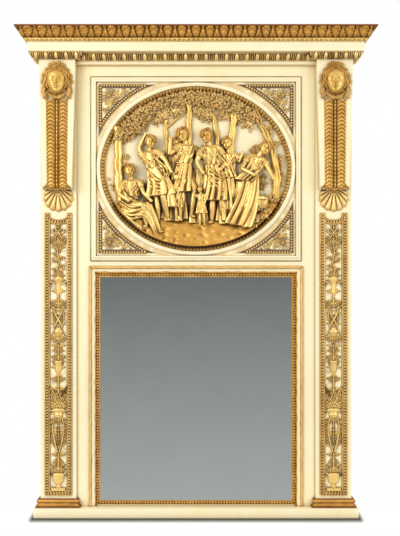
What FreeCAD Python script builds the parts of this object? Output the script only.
import FreeCAD, Part
import math
import os
import re

import Sketcher
from FreeCAD import Placement, Rotation, Vector

# Overmantel mirror in painted and gilt wood. Millimetres: X to the right, -Y to the front, Z up,
# the origin at the foot, on the wall. Depths are measured forward from the wall.

doc = FreeCAD.newDocument("overmantel_mirror")
sheet = doc.addObject("Spreadsheet::Sheet", "Size")

SIZES = [
    ("back_gap", 14, "from the wall to the back of the frame"),
    ("board", 40, "thickness of stiles and rails"),
    ("opening_half", 433, "half width of the mirror opening"),
    ("stile_wide", 253, "width of a stile"),
    ("bottom_rail_rise", 16, "height of the bottom rail"),
    ("opening_rise", 1007, "height of the mirror opening"),
    ("middle_rail_rise", 78, "height of the middle rail"),
    ("panel_rise", 784, "height of the relief opening"),
    ("panel_step", 17, "relief opening beyond the mirror opening on each side"),
    ("top_rail_rise", 107, "height of the top rail"),
    ("plinth_step", 26, "plinth beyond a stile"),
    ("plinth_rise", 42, "height of the plinth"),
    ("plinth_reach", 102, "depth of the plinth"),
    ("tenon_thick", 14, "thickness of a tenon"),
    ("tenon_short", 130, "width of a stile beyond the end of a rail tenon"),
    ("foot_tenon", 28, "length of a stile's foot tenon"),
    ("joint_play", 0.1, "play round a tenon or a peg"),
    ("peg_radius", 5, "radius of a peg"),
    ("peg_set", 11, "peg from the end of its tenon"),
    ("pilaster_wide", 158, "width of a pilaster"),
    ("pilaster_thick", 14, "thickness of a pilaster"),
    ("herm_rise", 593, "height of the herm block"),
    ("herm_neck", 44, "upper stretch of the herm block that doesn't taper"),
    ("herm_taper", 16, "how much each side of the herm block comes in at its foot"),
    ("herm_thick", 46, "thickness of the herm block"),
    ("herm_round", 18, "rounding of the herm block's lower edge"),
    ("bed_rise", 28, "height of the bed mould"),
    ("bed_reach", 36, "projection of the bed mould"),
    ("frieze_rise", 42, "height of the frieze strip"),
    ("frieze_thick", 30, "thickness of the frieze strip"),
    ("soffit_thick", 18, "thickness of the soffit board"),
    ("corona_step", 6, "corona in front of the bed mould"),
    ("corona_thick", 18, "thickness of the corona boards"),
    ("corona_rise", 90, "height of the corona boards"),
    ("dust_thick", 12, "thickness of the dust board"),
    ("rope_level", 41, "rope moulding above the soffit"),
    ("rope_rise", 12, "height of the rope moulding"),
    ("rope_reach", 13, "projection of the rope moulding"),
    ("leaf_reach", 49, "projection of the leaf moulding"),
    ("base_rise", 36, "height of the base moulding"),
    ("base_reach", 18, "projection of the base moulding"),
    ("base_fillet", 3, "fillet of the base moulding"),
    ("border_margin", 20.5, "from the edge of a pilaster to the panel border"),
    ("border_strip", 21, "width of the panel border's strip"),
    ("border_lift", 16, "panel border above the base moulding"),
    ("border_drop", 102, "panel border below the herm block"),
    ("border_dip", 31, "dip of the panel border's hollow top"),
    ("border_thick", 10, "thickness of the panel border"),
    ("ornament_thick", 12, "thickness of the candelabrum"),
    ("ornament_short", 23, "candelabrum's top below the panel border's strip"),
    ("ornament_margin", 4.5, "candelabrum from the panel border's strip"),
    ("drop_depth", 208, "head of the scale drop below the cornice"),
    ("drop_half", 48, "half width of the scale drop at its head"),
    ("drop_foot_half", 42, "half width of the scale drop at its foot"),
    ("drop_thick", 15, "thickness of the scale drop"),
    ("husk_radius", 9, "radius of the husk chain at its head"),
    ("husk_foot_radius", 7, "radius of the husk chain at its foot"),
    ("husk_set", 4, "husk chain's axis in front of the herm block"),
    ("mask_depth", 129, "middle of a mask below the cornice"),
    ("mask_half", 66, "half width of a mask with its hair"),
    ("hair_rise_half", 78, "half height of a mask's hair"),
    ("hair_thick", 24, "thickness of a mask's hair"),
    ("face_half", 39, "half width of a mask's face"),
    ("face_rise_half", 53, "half height of a mask's face"),
    ("face_thick", 36, "thickness of a mask's face"),
    ("face_set", 2, "face forward of the hair and below its middle"),
    ("knot_half", 25, "half width of a mask's top knot"),
    ("knot_thick", 22, "half thickness of a mask's top knot"),
    ("knot_set", 6, "top knot forward of the hair"),
    ("knot_lift", 62, "top knot above the middle of a mask"),
    ("shell_radius", 108, "length of the shell's middle flute"),
    ("shell_shoulder", 7, "how much each flute is shorter than its inner neighbour"),
    ("shell_step", 9, "spacing of the flutes at the shell's head"),
    ("shell_gap", 3, "shell below the herm block"),
    ("flute_radius", 10, "radius of a flute at its foot"),
    ("flute_head_radius", 8, "radius of a flute at its head"),
    ("glass_play", 4, "play round the glass"),
    ("glass_thick", 6, "thickness of the glass"),
    ("setting_half", 25, "half length of a setting block"),
    ("bead_wide", 16, "width of the bead strips"),
    ("bead_lip", 9, "bead strips over the edge of the opening"),
    ("bead_edge", 5, "height of the bead strips' edges"),
    ("mirror_mould", 32, "width of the mirror frame"),
    ("mirror_edge", 9, "height of the mirror frame's astragal above the field at its sides"),
    ("mirror_flat", 5, "height of the mirror frame's flat"),
    ("retainer_wide", 12, "width of the glass retainers"),
    ("backboard_thick", 12, "thickness of the backboard"),
    ("plank_play", 1, "play round the backboard"),
    ("panel_board", 20, "thickness of the ground and of the spandrel board"),
    ("panel_play", 1, "play round the relief boards"),
    ("relief_mould", 24, "width of the relief frame"),
    ("relief_lip", 7, "relief frame over the edge of its opening"),
    ("relief_thick", 11, "thickness of the relief frame"),
    ("relief_edge", 4, "height of the relief frame's outer edge"),
    ("relief_fillet", 3, "fillet of the relief frame"),
    ("oval_margin", 7.5, "from the relief opening to the oval ring"),
    ("oval_strip", 20, "width of the oval ring"),
    ("oval_thick", 12, "thickness of the oval ring"),
    ("oval_leaf", 18, "width of the oval leaf ring"),
    ("leaf_ring_lip", 4, "oval leaf ring in front of the field"),
    ("ring_play", 0.3, "play between the oval leaf ring and the spandrel board"),
    ("carving_play", 2, "play between the carving and the oval leaf ring"),
    ("spandrel_margin", 10, "corner ornaments from the relief frame"),
    ("spandrel_strip", 9, "width of a corner ornament's strips"),
    ("spandrel_long", 150, "length of a corner ornament's level strip"),
    ("spandrel_tall", 130, "length of a corner ornament's upright strip"),
    ("spandrel_thick", 6, "thickness of the corner ornaments"),
    ("rosette_radius", 21, "radius of a corner rosette"),
    ("rosette_set", 44, "rosette from the corner of its ornament"),
    ("batten_wide", 40, "width of the battens"),
    ("batten_set", 6, "side battens from the edge of the frame"),
    ("batten_lift", 38, "side battens above the plinth"),
    ("batten_drop", 94, "side battens below the cornice"),
    ("top_batten_drop", 34, "top batten below the cornice"),
    ("top_batten_wide", 50, "width of the top batten"),
    ("top_batten_lap", 40, "top batten beyond the middle of a wall plate"),
    ("relief_batten_lap", 70, "battens behind the relief over each stile"),
    ("relief_batten_thick", 10, "thickness of the battens behind the relief"),
    ("plate_set", 27, "wall plates beyond the mirror opening"),
    ("plate_wide", 40, "width of a wall plate"),
    ("plate_thick", 3, "thickness of a wall plate"),
    ("plate_hole", 4, "radius of the hole for the wall hook"),
    ("plate_rise", 32, "wall plates above the cornice"),
    ("plate_hole_set", 14, "hole for the wall hook below the top of its plate"),
    ("plate_screw", 2.5, "radius of a plate screw"),
    ("plate_screw_low", 14, "lower plate screw above the foot of its plate"),
    ("plate_screw_high", 36, "upper plate screw above the foot of its plate"),
    ("plate_screw_short", 1, "end of a plate screw from the back of the frame"),
    ("button_long", 60, "length of a turn button"),
    ("button_wide", 18, "width of a turn button"),
    ("button_thick", 9, "thickness of a turn button"),
    ("button_set", 14, "turn button's pivot beyond the opening"),
    ("button_shank", 2, "radius of a button screw"),
    ("button_play", 0.05, "play of a button on its screw"),
    ("button_head", 4.5, "radius of a button screw's head"),
    ("button_head_thick", 2, "thickness of a button screw's head"),
    ("button_gap", 0.3, "gap on each side of a turn button"),
    ("block_half", 30, "half length of a front glue block"),
    ("block_thick", 30, "thickness of the glue blocks"),
    ("block_rise", 40, "height of a front glue block"),
    ("post_half", 20, "half width of a back glue block"),
]

LEVELS = [
    ("frame_half", "opening_half + stile_wide"),
    ("panel_half", "opening_half + panel_step"),
    ("plinth_half", "frame_half + plinth_step"),
    ("pilaster_inner", "frame_half - pilaster_wide"),
    ("tenon_long", "stile_wide - tenon_short"),
    ("opening_foot", "plinth_rise + bottom_rail_rise"),
    ("opening_head", "opening_foot + opening_rise"),
    ("panel_foot", "opening_head + middle_rail_rise"),
    ("panel_head", "panel_foot + panel_rise"),
    ("order_head", "panel_head + top_rail_rise"),
    ("field_front", "back_gap + board"),
    ("pilaster_front", "field_front + pilaster_thick"),
    ("herm_front", "pilaster_front + herm_thick"),
    ("frieze_front", "field_front + frieze_thick"),
    ("bed_front", "herm_front + bed_reach"),
    ("bed_foot", "order_head - bed_rise"),
    ("corona_front", "bed_front + corona_step"),
    ("corona_back", "corona_front - corona_thick"),
    ("corona_half", "frame_half + bed_reach + corona_step"),
    ("corona_inner", "corona_half - corona_thick"),
    ("corona_head", "order_head + corona_rise"),
    ("cornice_head", "corona_head + dust_thick"),
    ("leaf_foot", "order_head + rope_level + rope_rise"),
    ("leaf_rise", "cornice_head - leaf_foot"),
    ("pilaster_middle", "(frame_half + pilaster_inner) / 2"),
    ("pilaster_half", "(frame_half - pilaster_inner) / 2"),
    ("herm_foot", "order_head - herm_rise"),
    ("herm_foot_half", "pilaster_half - herm_taper"),
    ("border_half", "pilaster_half - border_margin"),
    ("border_foot", "plinth_rise + base_rise + border_lift"),
    ("border_rise", "herm_foot - border_drop - border_foot"),
    ("ornament_half", "border_half - border_strip - ornament_margin"),
    ("ornament_rise", "border_rise - 2 * border_strip - ornament_short"),
    ("drop_head", "order_head - drop_depth"),
    ("mask_middle", "order_head - mask_depth"),
    ("shell_head", "herm_foot - shell_gap"),
    ("plate_spread", "opening_half + plate_set"),
    ("batten_head", "order_head - top_batten_drop"),
    ("batten_foot", "batten_head - top_batten_wide"),
    ("plate_top", "cornice_head + plate_rise"),
    ("tenon_back", "back_gap + (board - tenon_thick) / 2"),
    ("tenon_front", "tenon_back + tenon_thick"),
    ("glass_back", "field_front - glass_thick"),
    ("backboard_back", "back_gap + backboard_thick"),
    ("sight_half", "opening_half - bead_lip"),
    ("sight_foot", "opening_foot + bead_lip"),
    ("sight_head", "opening_head - bead_lip"),
    ("bead_half", "sight_half + bead_wide"),
    ("bead_head", "sight_head + bead_wide"),
    ("mirror_half", "bead_half + mirror_mould"),
    ("mirror_head", "bead_head + mirror_mould"),
    ("panel_middle", "(panel_foot + panel_head) / 2"),
    ("ground_front", "back_gap + panel_board"),
    ("oval_half", "panel_half - oval_margin"),
    ("oval_rise_half", "panel_rise / 2 - oval_margin"),
    ("ring_half", "oval_half - oval_strip"),
    ("ring_rise_half", "oval_rise_half - oval_strip"),
    ("carving_half", "ring_half - oval_leaf - carving_play"),
    ("carving_rise_half", "ring_rise_half - oval_leaf - carving_play"),
    ("button_spread", "opening_half + button_set"),
]

for row, (alias, value, meaning) in enumerate(SIZES, 1):
    sheet.set(f"A{row}", meaning)
    sheet.set(f"B{row}", str(value))
    sheet.setAlias(f"B{row}", alias)
for row, (alias, formula) in enumerate(LEVELS, len(SIZES) + 2):
    sheet.set(f"B{row}", f"={formula}")
    sheet.setAlias(f"B{row}", alias)
doc.recompute()
ALIASES = {entry[0] for entry in SIZES + LEVELS}
SCRATCH = "D1"
SIDES = (("left", -1), ("right", 1))
TO_FRONT = Rotation(Vector(1, 0, 0), 90)
UPRIGHT = TO_FRONT.multiply(Rotation(Vector(0, 0, 1), 90))
THROUGH_ALL = 1


def named(formula):
    return re.sub(r"[a-z_]+", lambda m: f"Size.{m[0]}" if m[0] in ALIASES else m[0], formula)


def number(formula):
    sheet.set(SCRATCH, f"={formula}")
    sheet.recompute()
    return float(sheet.get(SCRATCH))


def bind(thing, prop, formula):
    thing.setExpression(prop, named(formula))


def place(thing, x, depth, z, rotation=None):
    if rotation:
        thing.Placement = Placement(Vector(), rotation)
    bind(thing, "Placement.Base.x", x)
    bind(thing, "Placement.Base.y", f"-({depth})")
    bind(thing, "Placement.Base.z", z)
    return thing


def between(side, low, high):
    return (low, high) if side > 0 else (f"-({high})", f"-({low})")


def about(middle, half):
    return (f"{middle} - ({half})", f"{middle} + ({half})")


def box(label, x, depth, z):
    piece = doc.addObject("Part::Box", label)
    for prop, (low, high) in (("Length", x), ("Width", depth), ("Height", z)):
        bind(piece, prop, f"({high}) - ({low})")
    return place(piece, x[0], depth[1], z[0])


def rod(label, radius, x, depth, z):
    piece = doc.addObject("Part::Cylinder", label)
    bind(piece, "Radius", radius)
    bind(piece, "Height", f"({depth[1]}) - ({depth[0]})")
    return place(piece, x, depth[0], z, TO_FRONT)


def cone(label, low_radius, high_radius, long, x, depth, z, rotation=None):
    piece = doc.addObject("Part::Cone", label)
    bind(piece, "Radius1", low_radius)
    bind(piece, "Radius2", high_radius)
    bind(piece, "Height", long)
    return place(piece, x, depth, z, rotation)


def ellipsoid(label, half_wide, half_deep, half_rise, x, depth, z):
    piece = doc.addObject("Part::Ellipsoid", label)
    bind(piece, "Radius1", half_rise)
    bind(piece, "Radius2", half_wide)
    bind(piece, "Radius3", half_deep)
    return place(piece, x, depth, z)


def oval(label, half_wide, half_rise, depth):
    # The curve's long axis lies across, or upright where the panel is taller than wide.
    halves = [half_wide, half_rise]
    rotation = TO_FRONT
    if number(half_rise) > number(half_wide):
        halves.reverse()
        rotation = UPRIGHT
    curve = doc.addObject("Part::Ellipse", f"{label}_curve")
    bind(curve, "MajorRadius", halves[0])
    bind(curve, "MinorRadius", halves[1])
    place(curve, "0", depth[0], "panel_middle", rotation)
    plate = doc.addObject("Part::Extrusion", label)
    plate.Base = curve
    plate.DirMode = "Custom"
    plate.Dir = Vector(0, -1, 0)
    plate.Solid = True
    bind(plate, "LengthFwd", f"({depth[1]}) - ({depth[0]})")
    return plate


def fuse(label, pieces):
    whole = doc.addObject("Part::MultiFuse", label)
    whole.Shapes = pieces
    return whole


def cut(label, base, tools):
    piece = doc.addObject("Part::Cut", label)
    piece.Base = base
    piece.Tool = tools[0] if len(tools) == 1 else fuse(f"{label}_tools", tools)
    return piece


def common(label, first, second):
    piece = doc.addObject("Part::Common", label)
    piece.Base = first
    piece.Tool = second
    return piece


def group(label, pieces):
    whole = doc.addObject("Part::Compound", label)
    whole.Links = pieces
    return whole


def crown(p, q, radius, side):
    # Middle point of the arc from p to q that bulges to the left (1) or to the right (-1).
    chord = q - p
    half = chord.Length / 2
    sag = radius - math.sqrt(radius**2 - half**2)
    return (p + q) * 0.5 + Vector(-chord.y, chord.x, 0).normalize() * (side * sag)


def draw(body, name, role, loops):
    # A loop is a list of (x, y, bend); bend is None or (radius, side) of the arc to the next point.
    sketch = body.newObject("Sketcher::SketchObject", name)
    plane = [o for o in body.Origin.OriginFeatures if o.Role == role][0]
    sketch.AttachmentSupport = [(plane, "")]
    sketch.MapMode = "FlatFace"
    for loop in loops:
        first = sketch.GeometryCount
        points = [Vector(number(x), number(y), 0) for x, y, bend in loop]
        bends = []
        for n, (x, y, bend) in enumerate(loop):
            p, q = points[n], points[(n + 1) % len(loop)]
            if bend:
                middle = crown(p, q, number(bend[0]), bend[1])
                curve = Part.ArcOfCircle(q, middle, p) if bend[1] > 0 else Part.ArcOfCircle(p, middle, q)
                bends.append((first + n, bend[0]))
            else:
                curve = Part.LineSegment(p, q)
            sketch.addGeometry(curve)

        def end_at(edge, point):
            curve = sketch.Geometry[edge]
            from_start = curve.StartPoint.distanceToPoint(point)
            from_end = curve.EndPoint.distanceToPoint(point)
            return 1 if from_start < from_end else 2

        for n, (x, y, bend) in enumerate(loop):
            edge, before = first + n, first + (n - 1) % len(loop)
            tip = end_at(edge, points[n])
            tail = end_at(before, points[n])
            sketch.addConstraint(Sketcher.Constraint("Coincident", before, tail, edge, tip))
            for kind, formula, value in (("DistanceX", x, points[n].x), ("DistanceY", y, points[n].y)):
                rule = sketch.addConstraint(Sketcher.Constraint(kind, -1, 1, edge, tip, value))
                bind(sketch, f"Constraints[{rule}]", formula)
        for edge, radius in bends:
            rule = sketch.addConstraint(Sketcher.Constraint("Radius", edge, number(radius)))
            bind(sketch, f"Constraints[{rule}]", radius)
    return sketch


def pad(body, name, sketch, long):
    feature = body.newObject("PartDesign::Pad", name)
    feature.Profile = sketch
    bind(feature, "Length", long)
    body.Tip = feature
    return feature


def plain(points):
    return [(x, y, None) for x, y in points]


def plate(label, loops, long, x, depth, z):
    # A flat piece with its outline in the front view, thick towards the front.
    body = doc.addObject("PartDesign::Body", label)
    pad(body, f"{label}_pad", draw(body, f"{label}_outline", "XZ_Plane", loops), long)
    return place(body, x, depth, z)


MITRES = {
    ("start", "outer"): (("0", "0"), ("{r}", "0"), ("0", "{r}")),
    ("start", "inner"): (("0", "0"), ("{r}", "{r}"), ("0", "{r}")),
    ("end", "outer"): (("{l}", "0"), ("{l}", "{r}"), ("{l} - ({r})", "0")),
    ("end", "inner"): (("{l}", "0"), ("{l}", "{r}"), ("{l} - ({r})", "{r}")),
}


BOTH_OUTER = ("outer", "outer")


def bar(label, outline, reach, long, ends, x, depth, z, rotation):
    # A length of moulding along its own X, projecting along Y and rising along Z, mitred at its ends.
    body = doc.addObject("PartDesign::Body", label)
    pad(body, f"{label}_pad", draw(body, f"{label}_profile", "YZ_Plane", [outline]), long)
    loops = []
    for where, kind in zip(("start", "end"), ends):
        if kind != "square":
            sizes = {"r": reach, "l": f"({long})"}
            corner = [(a.format(**sizes), b.format(**sizes)) for a, b in MITRES[where, kind]]
            loops.append(plain(corner))
    if loops:
        sketch = draw(body, f"{label}_mitres", "XY_Plane", loops)
        mitre = body.newObject("PartDesign::Pocket", f"{label}_mitre")
        mitre.Profile = sketch
        mitre.Type = THROUGH_ALL
        mitre.Midplane = True
        body.Tip = mitre
    return place(body, x, depth, z, rotation)


def turned(degrees):
    return Rotation(Vector(0, 0, 1), degrees)


def wrapped(label, outline, reach, side, back, front, inner_back, inner_end, z):
    # Moulding round a pilaster: outer return, front and inner return.
    edge = f"frame_half + {reach}"
    wide = f"2 * pilaster_half + 2 * {reach}"
    tip = f"{front} + {reach}"
    outer_long = f"{tip} - {back}"
    inner_long = f"{tip} - {inner_back}"
    outer_ends, inner_ends = ("square", "outer"), (inner_end, "outer")
    start = edge
    if side < 0:
        start = f"-(pilaster_inner - {reach})"
    pieces = [bar(f"{label}_front", outline, reach, wide, BOTH_OUTER, start, front, z, turned(180))]
    if side > 0:
        spots = (("outer", outer_long, outer_ends, "frame_half", back, -90),
                 ("inner", inner_long, inner_ends[::-1], "pilaster_inner", tip, 90))
    else:
        spots = (("outer", outer_long, outer_ends[::-1], "-frame_half", tip, 90),
                 ("inner", inner_long, inner_ends, "-pilaster_inner", inner_back, -90))
    for name, long, ends, x, depth, degrees in spots:
        pieces.append(bar(f"{label}_{name}", outline, reach, long, ends, x, depth, z, turned(degrees)))
    return group(label, pieces)


def three_sides(label, outline, reach, half, face, back, z):
    # Moulding round the cornice: front and two returns.
    tip = f"{face} + {reach}"
    long = f"{tip} - {back}"
    edge = f"{half} + {reach}"
    wide = f"2 * ({edge})"
    left_ends, right_ends = ("outer", "square"), ("square", "outer")
    return group(label, [
        bar(f"{label}_front", outline, reach, wide, BOTH_OUTER, edge, face, z, turned(180)),
        bar(f"{label}_left", outline, reach, long, left_ends, f"-({half})", tip, z, turned(90)),
        bar(f"{label}_right", outline, reach, long, right_ends, half, back, z, turned(-90)),
    ])


def on_field(degrees):
    return Rotation(Vector(0, 1, 0), degrees).multiply(TO_FRONT)


def surround(label, outline, reach, half, foot, head, depth, bottom):
    # Moulding on the field round an opening; without a bottom length the sides stand on their foot.
    edge = f"({half} + {reach})"
    wide = f"2 * {edge}"
    low, low_end = (f"{foot} - {reach}", "outer") if bottom else (foot, "square")
    tall = f"({head} + {reach}) - ({low})"
    pieces = [
        bar(f"{label}_top", outline, reach, wide, BOTH_OUTER, f"-{edge}", depth, head, on_field(0)),
        bar(f"{label}_left", outline, reach, tall, (low_end, "outer"), f"-({half})", depth, low,
            on_field(-90)),
        bar(f"{label}_right", outline, reach, tall, ("outer", low_end), half, depth, f"{head} + {reach}",
            on_field(90)),
    ]
    if bottom:
        pieces.append(bar(f"{label}_bottom", outline, reach, wide, BOTH_OUTER, edge, depth, foot,
                          on_field(180)))
    return group(label, pieces)


nodes = []

# Carcass: rails tenoned into the stiles, stiles tenoned into the plinth, all pegged.
FOOT_TENON = ("opening_half + stile_wide * 0.26", "frame_half - stile_wide * 0.14")
RAILS = (
    ("top_rail", "panel_head", "order_head", "panel_head + top_rail_rise * 0.15",
     "order_head - top_rail_rise * 0.19"),
    ("middle_rail", "opening_head", "panel_foot", "opening_head + middle_rail_rise * 0.15",
     "panel_foot - middle_rail_rise * 0.15"),
    ("bottom_rail", "plinth_rise", "opening_foot", "plinth_rise + bottom_rail_rise * 0.12",
     "opening_foot - bottom_rail_rise * 0.12"),
)
PEGS = (
    ("top_rail", "panel_head + top_rail_rise * 0.34"),
    ("top_rail", "order_head - top_rail_rise * 0.37"),
    ("middle_rail", "opening_head + middle_rail_rise * 0.33"),
    ("middle_rail", "panel_foot - middle_rail_rise * 0.33"),
)
PEG_SPREAD = "opening_half + tenon_long - peg_set"
PEG_SPAN = ("back_gap", "field_front")
TENON_SPAN = ("tenon_back", "tenon_front")
LOOSE_TENON_SPAN = ("tenon_back - joint_play", "tenon_front + joint_play")
BOARD_SPAN = ("back_gap", "field_front")

plinth_tools = []
for name, side in SIDES:
    wide = between(side, FOOT_TENON[0] + " - joint_play", FOOT_TENON[1] + " + joint_play")
    plinth_tools.append(box(f"{name}_plinth_mortise", wide, LOOSE_TENON_SPAN,
                            ("plinth_rise - foot_tenon - joint_play", "plinth_rise")))
plinth_blank = box("plinth_blank", about("0", "plinth_half"), ("0", "plinth_reach"),
                   ("0", "plinth_rise"))
nodes.append(cut("plinth", plinth_blank, plinth_tools))

for name, side in SIDES:
    shaft = box(f"{name}_stile_board", between(side, "opening_half", "frame_half"), BOARD_SPAN,
                ("plinth_rise", "order_head"))
    tenon = box(f"{name}_stile_tenon", between(side, *FOOT_TENON), TENON_SPAN,
                ("plinth_rise - foot_tenon", "plinth_rise"))
    tools = [box(f"{name}_stile_notch", between(side, "opening_half", "panel_half"), BOARD_SPAN,
                 ("panel_foot", "panel_head"))]
    mortise_wide = between(side, "opening_half", "opening_half + tenon_long + joint_play")
    for rail, foot, head, tenon_foot, tenon_head in RAILS:
        tools.append(box(f"{name}_{rail}_mortise", mortise_wide, LOOSE_TENON_SPAN,
                         (f"{tenon_foot} - joint_play", f"{tenon_head} + joint_play")))
    for n, (rail, level) in enumerate(PEGS):
        spot = PEG_SPREAD if side > 0 else f"-({PEG_SPREAD})"
        tools.append(rod(f"{name}_stile_peg_hole_{n}", "peg_radius + joint_play", spot, PEG_SPAN, level))
    nodes.append(cut(f"{name}_stile", fuse(f"{name}_stile_blank", [shaft, tenon]), tools))

for rail, foot, head, tenon_foot, tenon_head in RAILS:
    bodies = [box(f"{rail}_board", about("0", "opening_half"), BOARD_SPAN, (foot, head)),
              box(f"{rail}_tenon", about("0", "opening_half + tenon_long"), TENON_SPAN,
                  (tenon_foot, tenon_head))]
    blank = fuse(f"{rail}_blank" if rail != "bottom_rail" else rail, bodies)
    holes = [rod(f"{rail}_peg_hole_{name}_{n}", "peg_radius + joint_play",
                 PEG_SPREAD if side > 0 else f"-({PEG_SPREAD})", PEG_SPAN, level)
             for n, (owner, level) in enumerate(PEGS) if owner == rail for name, side in SIDES]
    nodes.append(cut(rail, blank, holes) if holes else blank)

nodes.append(group("joint_pegs", [
    rod(f"{name}_peg_{n}", "peg_radius", PEG_SPREAD if side > 0 else f"-({PEG_SPREAD})", PEG_SPAN, level)
    for n, (owner, level) in enumerate(PEGS) for name, side in SIDES]))

# Battens that stand off the wall, and the iron plates let into the top one.
BATTEN_SPAN = ("0", "back_gap")
BATTEN_RISE = ("batten_foot", "batten_head")
for name, side in SIDES:
    wide = between(side, "frame_half - batten_set - batten_wide", "frame_half - batten_set")
    nodes.append(box(f"{name}_wall_batten", wide, BATTEN_SPAN,
                     ("plinth_rise + batten_lift", "order_head - batten_drop")))
plates, screws, housings = [], [], []
SCREW_SPAN = ("0", "back_gap - plate_screw_short")
SCREW_LEVELS = ("batten_foot + plate_screw_low", "batten_foot + plate_screw_high")
for name, side in SIDES:
    middle = "plate_spread" if side > 0 else "-plate_spread"
    wide = about(middle, "plate_wide / 2")
    blank = box(f"{name}_plate_blank", wide, ("0", "plate_thick"), ("batten_foot", "plate_top"))
    holes = [rod(f"{name}_plate_hole", "plate_hole", middle, ("0", "plate_thick"),
                 "plate_top - plate_hole_set")]
    for n, level in enumerate(SCREW_LEVELS):
        shank = rod(f"{name}_plate_shank_{n}", "plate_screw", middle, SCREW_SPAN, level)
        holes.append(rod(f"{name}_plate_screw_hole_{n}", "plate_screw", middle, SCREW_SPAN, level))
        screws.append(shank)
    plates.append(cut(f"{name}_plate", blank, holes))
    housings.append(box(f"{name}_plate_housing", wide, ("0", "plate_thick"), BATTEN_RISE))
    housings += [rod(f"{name}_batten_screw_hole_{n}", "plate_screw", middle, SCREW_SPAN, level)
                 for n, level in enumerate(SCREW_LEVELS)]
top_batten = box("top_batten_blank", about("0", "plate_spread + top_batten_lap"), BATTEN_SPAN, BATTEN_RISE)
nodes.append(cut("top_wall_batten", top_batten, housings))
nodes.append(group("wall_plates", plates))
nodes.append(group("plate_screws", screws))

# Pilasters with their herm blocks and carvings. A cutting block reaches past its work by the margin.
MARGIN = "40"
# The candelabrum's outline as (level, half width) on a panel of the sizes given below it.
CANDELABRUM = (
    (0, 30), (16, 30), (20, 14), (34, 10), (46, 26), (92, 33), (118, 27), (126, 14), (140, 18), (148, 5),
    (190, 5), (196, 20), (236, 30), (262, 7), (330, 6), (338, 19), (380, 29), (404, 12), (412, 24), (426, 5),
    (520, 5), (528, 24), (566, 32), (592, 9), (690, 6), (698, 18), (740, 30), (768, 9), (800, 9), (806, 22),
    (862, 27), (886, 10), (896, 18), (906, 5), (980, 5), (988, 28), (1040, 33), (1090, 12), (1130, 30),
    (1160, 33), (1180, 8),
)
CANDELABRUM_HALF, CANDELABRUM_RISE = 33, 1180
FLUTES = 7
FLUTE_STEP = 4.5
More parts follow.
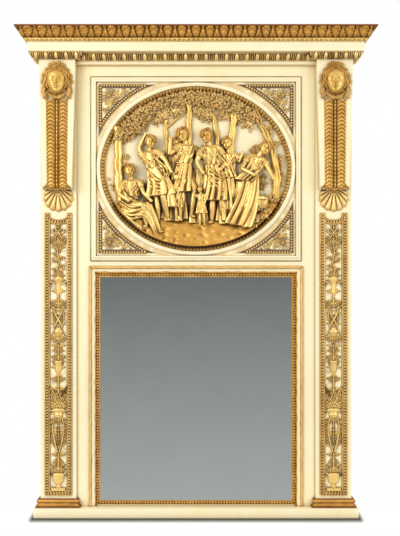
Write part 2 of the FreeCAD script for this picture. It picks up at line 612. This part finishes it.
# The two columns of a scale drop: their places and radii as shares of its half width.
COLUMN_SET, COLUMN_RADIUS = 0.46, 0.55
for name, side in SIDES:
    middle = "pilaster_middle" if side > 0 else "-pilaster_middle"
    nodes.append(box(f"{name}_pilaster", between(side, "pilaster_inner", "frame_half"),
                     ("field_front", "pilaster_front"), ("plinth_rise", "order_head")))

    shoulder = "herm_rise - herm_neck"
    herm = plate(f"{name}_herm_block", [plain([
        ("-herm_foot_half", "0"), ("herm_foot_half", "0"), ("pilaster_half", shoulder),
        ("pilaster_half", "herm_rise"), ("-pilaster_half", "herm_rise"), ("-pilaster_half", shoulder)])],
        "herm_thick", middle, "pilaster_front", "herm_foot")
    doc.recompute()
    block = herm.Tip
    front = -number("herm_thick")
    edges = [f"Edge{n}" for n, edge in enumerate(block.Shape.Edges, 1)
             if all(abs(v.Z) < 1e-6 and abs(v.Y - front) < 1e-6 for v in edge.Vertexes)]
    rounding = herm.newObject("PartDesign::Fillet", f"{name}_herm_rounding")
    rounding.Base = (block, edges)
    bind(rounding, "Radius", "herm_round")
    herm.Tip = rounding
    nodes.append(herm)

    back = box(f"{name}_mask_back", about("0", f"mask_half + {MARGIN}"), (f"-face_thick - {MARGIN}", "0"),
               about("0", f"hair_rise_half + knot_lift + {MARGIN}"))
    hair = ellipsoid(f"{name}_mask_hair", "mask_half", "hair_thick", "hair_rise_half", "0", "0", "0")
    face = ellipsoid(f"{name}_mask_face", "face_half", "face_thick", "face_rise_half",
                     "0", "face_set", "-face_set")
    knot = ellipsoid(f"{name}_mask_knot", "knot_half", "knot_thick", "knot_thick",
                     "0", "knot_set", "knot_lift")
    mask = cut(f"{name}_mask", fuse(f"{name}_mask_whole", [hair, face, knot]), [back])
    nodes.append(place(mask, middle, "herm_front", "mask_middle"))

    drop_rise = "drop_head - herm_foot - herm_round"
    drop_level = "herm_foot + herm_round"
    slab = box(f"{name}_drop_back", about(middle, f"drop_half + {MARGIN}"),
               (f"herm_front - drop_half - {MARGIN}", "herm_front"),
               (f"herm_foot - {MARGIN}", f"drop_head + {MARGIN}"))
    columns = []
    for n, offset in enumerate((-COLUMN_SET, COLUMN_SET)):
        x = f"{middle} + ({offset}) * drop_half"
        columns.append(cone(f"{name}_drop_column_{n}", f"drop_foot_half * {COLUMN_RADIUS}",
                            f"drop_half * {COLUMN_RADIUS}", drop_rise, x,
                            f"herm_front + drop_thick - drop_half * {COLUMN_RADIUS}", drop_level))
    columns.append(cone(f"{name}_drop_husks", "husk_foot_radius", "husk_radius", drop_rise, middle,
                        "herm_front + husk_set", drop_level))
    nodes.append(cut(f"{name}_scale_drop", fuse(f"{name}_drop_whole", columns), [slab]))

    slab = box(f"{name}_shell_back", about(middle, f"shell_radius + {MARGIN}"),
               (f"pilaster_front - flute_radius - {MARGIN}", "pilaster_front"),
               (f"shell_head - shell_radius - {MARGIN}", f"shell_head + {MARGIN}"))
    flutes = []
    for n in range(FLUTES):
        from_middle = n - FLUTES // 2
        fan = Rotation(Vector(0, 1, 0), 180 + from_middle * FLUTE_STEP)
        flutes.append(cone(f"{name}_flute_{n}", "flute_head_radius", "flute_radius",
                           f"shell_radius - shell_shoulder * {abs(from_middle)}",
                           f"{middle} - ({from_middle}) * shell_step",
                           "pilaster_front + flute_head_radius", "shell_head", fan))
    nodes.append(cut(f"{name}_shell", fuse(f"{name}_shell_whole", flutes), [slab]))

    loops = []
    for inset in ("0", "border_strip"):
        half = f"border_half - {inset}"
        dip = f"border_dip * ({half}) / border_half"
        head = f"border_rise - {inset}"
        bow = f"(({half})^2 + ({dip})^2) / (2 * ({dip}))"
        loops.append([(f"-({half})", inset, None), (half, inset, None), (half, head, (bow, 1)),
                      (f"-({half})", head, None)])
    nodes.append(plate(f"{name}_panel_border", loops, "border_thick", middle, "pilaster_front",
                       "border_foot"))

    right_half = [(f"{half} / {CANDELABRUM_HALF} * ornament_half",
                   f"{level} / {CANDELABRUM_RISE} * ornament_rise") for level, half in CANDELABRUM]
    left_half = [(f"-({half})", level) for half, level in reversed(right_half)]
    nodes.append(plate(f"{name}_candelabrum", [plain(right_half + left_half)], "ornament_thick", middle,
                       "pilaster_front", "border_foot + border_strip"))

    base = [("0", "0", None), ("base_reach", "0", None), ("base_reach", "base_rise * 0.2", None),
            ("base_reach - base_fillet", "base_rise * 0.2", ("base_rise * 0.5", 1)),
            ("base_reach * 0.35", "base_rise * 0.55", None),
            ("base_reach * 0.5", "base_rise * 0.55", ("base_rise * 0.25", -1)),
            ("base_reach * 0.5", "base_rise", None), ("0", "base_rise", None)]
    nodes.append(wrapped(f"{name}_base_moulding", base, "base_reach", side, "back_gap", "pilaster_front",
                         "field_front", "square", "plinth_rise"))

# Cornice: a boxed corona with carved mouldings, and the egg-and-dart bed mould that breaks forward.
ovolo = [("0", "0", None), ("bed_reach * 0.16", "0", ("bed_reach * 0.75", -1)),
         ("bed_reach", "bed_rise * 0.86", None), ("bed_reach", "bed_rise", None), ("0", "bed_rise", None)]
for name, side in SIDES:
    nodes.append(wrapped(f"{name}_bed_moulding", ovolo, "bed_reach", side, "back_gap", "herm_front",
                         "frieze_front", "inner", "bed_foot"))
nodes.append(bar("centre_bed_moulding", ovolo, "bed_reach", "2 * pilaster_inner", ("inner", "inner"),
                 "pilaster_inner", "frieze_front", "bed_foot", turned(180)))
nodes.append(box("frieze_strip", about("0", "pilaster_inner"), ("field_front", "frieze_front"),
                 ("order_head - frieze_rise", "order_head")))
nodes.append(box("soffit_board", about("0", "corona_inner"), ("back_gap", "corona_back"),
                 ("order_head", "order_head + soffit_thick")))
square_board = plain([("0", "0"), ("corona_thick", "0"), ("corona_thick", "corona_rise"),
                      ("0", "corona_rise")])
nodes.append(three_sides("corona_boards", square_board, "corona_thick", "corona_inner", "corona_back",
                         "back_gap", "order_head"))
nodes.append(box("dust_board", about("0", "corona_half"), ("back_gap", "corona_front"),
                 ("corona_head", "cornice_head")))
rope = [("0", "0", None), ("rope_reach * 0.3", "0", ("rope_reach * 0.8", -1)),
        ("rope_reach", "rope_rise * 0.75", None), ("rope_reach", "rope_rise", None),
        ("0", "rope_rise", None)]
nodes.append(three_sides("rope_moulding", rope, "rope_reach", "corona_half", "corona_front", "back_gap",
                         "order_head + rope_level"))
cyma = [("0", "0", None), ("leaf_reach * 0.3", "0", None),
        ("leaf_reach * 0.3", "leaf_rise * 0.08", ("leaf_reach * 0.5", -1)),
        ("leaf_reach * 0.64", "leaf_rise * 0.48", ("leaf_reach * 0.5", 1)),
        ("leaf_reach * 0.95", "leaf_rise * 0.88", None), ("leaf_reach", "leaf_rise * 0.88", None),
        ("leaf_reach", "leaf_rise", None), ("0", "leaf_rise", None)]
nodes.append(three_sides("leaf_moulding", cyma, "leaf_reach", "corona_half", "corona_front", "back_gap",
                         "leaf_foot"))
blocks = []
soffit_top = "order_head + soffit_thick"
BLOCK_PLACES = (-0.8, -0.4, 0, 0.4, 0.8)
for n, share in enumerate(BLOCK_PLACES):
    spot = f"corona_inner * {share}"
    blocks.append(box(f"front_block_{n}", about(spot, "block_half"),
                      ("corona_back - block_thick", "corona_back"),
                      (soffit_top, f"{soffit_top} + block_rise")))
    blocks.append(box(f"back_block_{n}", about(spot, "post_half"), ("back_gap", "back_gap + block_thick"),
                      (soffit_top, "corona_head")))
nodes.append(group("glue_blocks", blocks))

# Relief panel: two boards in the opening, the mouldings in front of them and battens behind.
board_wide = about("0", "panel_half - panel_play")
board_tall = ("panel_foot + panel_play", "panel_head - panel_play")
nodes.append(box("relief_ground", board_wide, ("back_gap", "ground_front"), board_tall))
spandrel_blank = box("spandrel_blank", board_wide, ("ground_front", "field_front"), board_tall)
oval_hole = oval("spandrel_oval", "ring_half", "ring_rise_half", ("ground_front", "field_front"))
nodes.append(cut("spandrel_board", spandrel_blank, [oval_hole]))
nodes.append(group("relief_battens", [
    box(f"relief_batten_{n}", about("0", "panel_half + relief_batten_lap"),
        ("back_gap - relief_batten_thick", "back_gap"),
        about(f"panel_foot + (panel_head - panel_foot) * {share}", "batten_wide / 2"))
    for n, share in enumerate((0.2, 0.8))]))
cove = [("0", "0", None), ("relief_mould", "0", None), ("relief_mould", "relief_edge", None),
        ("relief_mould - relief_fillet", "relief_edge", ("relief_mould * 0.7", 1)),
        ("relief_mould * 0.3", "relief_thick", None), ("0", "relief_thick", None)]
nodes.append(surround("relief_frame", cove, "relief_mould", "panel_half - relief_lip",
                      "panel_foot + relief_lip", "panel_head - relief_lip", "field_front", True))

ring_span = ("field_front", "field_front + oval_thick")
ring = cut("oval_ring_whole", oval("oval_ring_outer", "oval_half", "oval_rise_half", ring_span),
           [oval("oval_ring_inner", "ring_half", "ring_rise_half", ring_span)])
leaf_span = ("ground_front", "field_front + leaf_ring_lip")
leaf_outer = oval("oval_leaf_outer", "ring_half - ring_play", "ring_rise_half - ring_play", leaf_span)
leaf_inner = oval("oval_leaf_inner", "ring_half - oval_leaf", "ring_rise_half - oval_leaf", leaf_span)
leaf = cut("oval_leaf_whole", leaf_outer, [leaf_inner])
HALVES = (("upper", ("panel_middle", "panel_head")), ("lower", ("panel_foot", "panel_middle")))
for label, whole in (("oval_ring", ring), ("oval_leaf_ring", leaf)):
    quarters = []
    for name, side in SIDES:
        for level, rise in HALVES:
            corner = box(f"{label}_{name}_{level}_corner", between(side, "0", "panel_half"),
                         ("0", f"field_front + oval_thick + {MARGIN}"), rise)
            quarters.append(common(f"{label}_{name}_{level}", whole, corner))
    nodes.append(group(label, quarters))

# Corner ornaments: a beaded edge strip on two sides and a rosette in each spandrel.
ornaments = []
CORNER = "panel_half - relief_lip - spandrel_margin"
CORNER_RISE = "(panel_head - panel_foot) / 2 - relief_lip - spandrel_margin"
ORNAMENT_SPAN = ("field_front", "field_front + spandrel_thick")
for name, side in SIDES:
    for level, lift in (("upper", 1), ("lower", -1)):
        x = f"({CORNER}) * {side}"
        z = f"panel_middle + ({CORNER_RISE}) * {lift}"
        label = f"{name}_{level}_spandrel"
        far_x, near_x, heart_x = [f"({x}) - {side} * {size}" for size in
                                  ("spandrel_long", "spandrel_strip", "rosette_set")]
        far_z, near_z, heart_z = [f"({z}) - {lift} * {size}" for size in
                                  ("spandrel_tall", "spandrel_strip", "rosette_set")]
        loop = plain([(x, z), (far_x, z), (far_x, near_z), (near_x, near_z), (near_x, far_z), (x, far_z)])
        outline = loop if side * lift < 0 else loop[::-1]
        edge = plate(label, [outline], "spandrel_thick", "0", "field_front", "0")
        rosette = rod(f"{label}_rosette", "rosette_radius", heart_x, ORNAMENT_SPAN, heart_z)
        ornaments += [edge, rosette]
nodes.append(group("spandrel_ornaments", ornaments))

# Relief: a mound, trees with leafy crowns and draped figures, in half round on the ground board.
GROUND = -number("ground_front")
MIDDLE = number("panel_middle")
HALF = number("carving_half")
RISE_HALF = number("carving_rise_half")
MOUND_RISE = 0.17
MOUND_THICK = 22
CARVING_THICK = 62
FIGURE_RISE = 0.58
UP = Vector(0, 0, 1)

# Figures: place across and up, height as a share, then the hands as (across, up) in heads.
FIGURES = (
    (-0.417, 0.289, 0.975, ((-2.1, 4.6), (1.6, 4.2))),
    (-0.100, 0.318, 1.0, ((-1.7, 3.6), (1.5, 5.4))),
    (0.154, 0.318, 1.01, ((-1.4, 3.9), (1.9, 5.0))),
    (0.500, 0.303, 0.94, ((-2.2, 4.8), (1.5, 3.7))),
    (-0.245, 0.318, 0.44, ((-1.5, 4.4), (1.5, 5.2))),
    (-0.690, 0.190, 0.74, ((-1.4, 3.4), (2.4, 4.6))),
)
TRUNKS = ((-0.875, 0.40, -0.80, 1.52, 13), (-0.29, 0.34, -0.33, 1.66, 9), (0.02, 0.34, -0.06, 1.70, 9),
          (0.34, 0.34, 0.24, 1.72, 11), (0.885, 0.62, 0.60, 1.62, 15))
CROWNS = ((-0.86, 1.46, 62), (-0.68, 1.62, 66), (-0.50, 1.50, 50), (-0.36, 1.78, 62), (-0.10, 1.84, 62),
          (0.16, 1.84, 62), (0.40, 1.78, 60), (0.62, 1.66, 56))
CROWN_THICK = 34


def spot(across, up, depth=0.0):
    # A place on the ground board, across from the middle and up from the foot in half sizes.
    return Vector(across * HALF, GROUND - depth, MIDDLE - RISE_HALF + up * RISE_HALF)


def limb(p, q, low, high):
    return Part.makeCone(low, high, (q - p).Length, p, q - p)


def figure(across, up, share, hands):
    tall = share * FIGURE_RISE * 2 * RISE_HALF
    head = tall / 8
    foot = spot(across, up, 6)
    waist, chest, neck = [foot + UP * head * n for n in (4.0, 5.9, 6.6)]
    pieces = [
        limb(foot, waist, head * 0.92, head * 0.55),
        limb(waist, chest, head * 0.55, head * 0.78),
        limb(chest, neck, head * 0.78, head * 0.24),
        limb(neck, neck + UP * head * 0.6, head * 0.22, head * 0.20),
        Part.makeSphere(head * 0.46, neck + Vector(0, -head * 0.1, head * 0.85)),
    ]
    for side, (aside, level) in zip((-1, 1), hands):
        shoulder = chest + Vector(side * head * 0.62, -head * 0.1, 0)
        hand = foot + Vector(aside * head, -head * 0.35, level * head)
        pieces.append(limb(shoulder, hand, head * 0.27, head * 0.16))
    return pieces


def tree(x0, z0, x1, z1, radius):
    return limb(spot(x0, z0), spot(x1, z1), radius, radius * 0.6)


def crown_of_leaves(across, up, spread):
    # A low dome: a ball whose middle lies behind the ground.
    radius = (spread**2 + CROWN_THICK**2) / (2 * CROWN_THICK)
    return Part.makeSphere(radius, spot(across, up, CROWN_THICK - radius))


def oval_block(thick):
    rim = Part.Ellipse(Vector(), max(HALF, RISE_HALF), min(HALF, RISE_HALF)).toShape()
    block = Part.Face(Part.Wire(rim)).extrude(Vector(0, 0, thick))
    rotation = UPRIGHT if RISE_HALF > HALF else TO_FRONT
    block.Placement = Placement(Vector(0, GROUND, MIDDLE), rotation)
    return block


mound_box = Part.makeBox(2 * HALF, MOUND_THICK, RISE_HALF * 2 * MOUND_RISE,
                         Vector(-HALF, GROUND - MOUND_THICK, MIDDLE - RISE_HALF))
mound = oval_block(MOUND_THICK).common(mound_box)
masses = [tree(*trunk) for trunk in TRUNKS]
masses += [crown_of_leaves(*entry) for entry in CROWNS]
for entry in FIGURES:
    masses += figure(*entry)
carving = doc.addObject("Part::Feature", "relief_carving")
carving.Shape = mound.multiFuse(masses).common(oval_block(CARVING_THICK))
nodes.append(carving)

# Mirror: glass in its opening, beaded strips in front, fillets and planks behind.
bead = [("0", "0", None), ("bead_wide", "0", None), ("bead_wide", "bead_edge", ("bead_wide * 0.53", -1)),
        ("0", "bead_edge", None)]
nodes.append(surround("bead_strips", bead, "bead_wide", "sight_half", "sight_foot", "sight_head",
                      "field_front", True))
astragal = [("0", "0", None), ("mirror_mould", "0", None),
            ("mirror_mould", "mirror_edge", ("mirror_mould * 0.2", -1)),
            ("mirror_mould * 0.625", "mirror_edge", ("mirror_mould * 0.4", 1)),
            ("mirror_mould * 0.25", "mirror_flat", None), ("0", "mirror_flat", None)]
nodes.append(surround("mirror_frame", astragal, "mirror_mould", "bead_half", "plinth_rise", "bead_head",
                      "field_front", False))
nodes.append(box("mirror_glass", about("0", "opening_half - glass_play"), ("glass_back", "field_front"),
                 ("opening_foot + glass_play", "opening_head - glass_play")))
nodes.append(group("setting_blocks", [
    box(f"{name}_setting_block", about(f"{side} * 0.6 * opening_half", "setting_half"),
        ("glass_back", "field_front"), ("opening_foot", "opening_foot + glass_play"))
    for name, side in SIDES]))
RETAINER_SPAN = ("backboard_back", "glass_back")
retainers = [box(f"{name}_retainer", between(side, "opening_half - retainer_wide", "opening_half"),
                 RETAINER_SPAN, ("opening_foot", "opening_head")) for name, side in SIDES]
for name, tall in (("bottom", ("opening_foot", "opening_foot + retainer_wide")),
                   ("top", ("opening_head - retainer_wide", "opening_head"))):
    retainers.append(box(f"{name}_retainer", about("0", "opening_half - retainer_wide"), RETAINER_SPAN,
                         tall))
nodes.append(group("glass_retainers", retainers))
PLANKS = 4
plank_foot = "opening_foot + plank_play"
plank_rise = f"(opening_rise - 2 * plank_play) / {PLANKS}"
nodes.append(group("backboard", [
    box(f"plank_{n}", about("0", "opening_half - plank_play"), ("back_gap", "backboard_back"),
        (f"{plank_foot} + {n} * {plank_rise}", f"{plank_foot} + {n + 1} * {plank_rise}"))
    for n in range(PLANKS)]))

# Turn buttons behind the backboard, each on its own screw.
button_screws = []
BUTTON_BACK = "back_gap - button_gap - button_thick"
HEAD_FRONT = f"{BUTTON_BACK} - button_gap"
# A round end's radius is a hair over the half width, so that its arc stays short of a half circle.
ROUND_END = 1.0001
for name, side in SIDES:
    for level, share in (("upper", 0.8), ("lower", 0.2)):
        label = f"{name}_{level}_button"
        x = f"{side} * button_spread"
        z = f"opening_foot + (opening_head - opening_foot) * {share}"
        straight = "button_long / 2 - button_wide / 2"
        half = "button_wide / 2"
        blank = plate(f"{label}_blank", [[
            (f"-({straight})", f"-({half})", None), (straight, f"-({half})", (f"{half} * {ROUND_END}", -1)),
            (straight, half, None), (f"-({straight})", half, (f"{half} * {ROUND_END}", -1))]],
            "button_thick", x, BUTTON_BACK, z)
        bore = rod(f"{label}_bore", "button_shank + button_play", x, (BUTTON_BACK, "back_gap"), z)
        nodes.append(cut(label, blank, [bore]))
        shank = rod(f"{label}_shank", "button_shank", x, (HEAD_FRONT, "back_gap"), z)
        head = rod(f"{label}_head", "button_head", x, (f"{HEAD_FRONT} - button_head_thick", HEAD_FRONT), z)
        button_screws.append(fuse(f"{label}_screw", [head, shank]))
nodes.append(group("button_screws", button_screws))

doc.recompute()
os.makedirs("parts", exist_ok=True)
for thing in doc.Objects:
    if "Invalid" in thing.State or "Error" in thing.State:
        raise RuntimeError(f"{thing.Label} is not sound: {thing.State}")
for node in nodes:
    if node.Shape.isNull() or not node.Shape.isValid() or not node.Shape.Solids:
        raise RuntimeError(f"{node.Label} has no sound solid")
    node.Shape.exportStep(f"parts/{node.Label}.step")
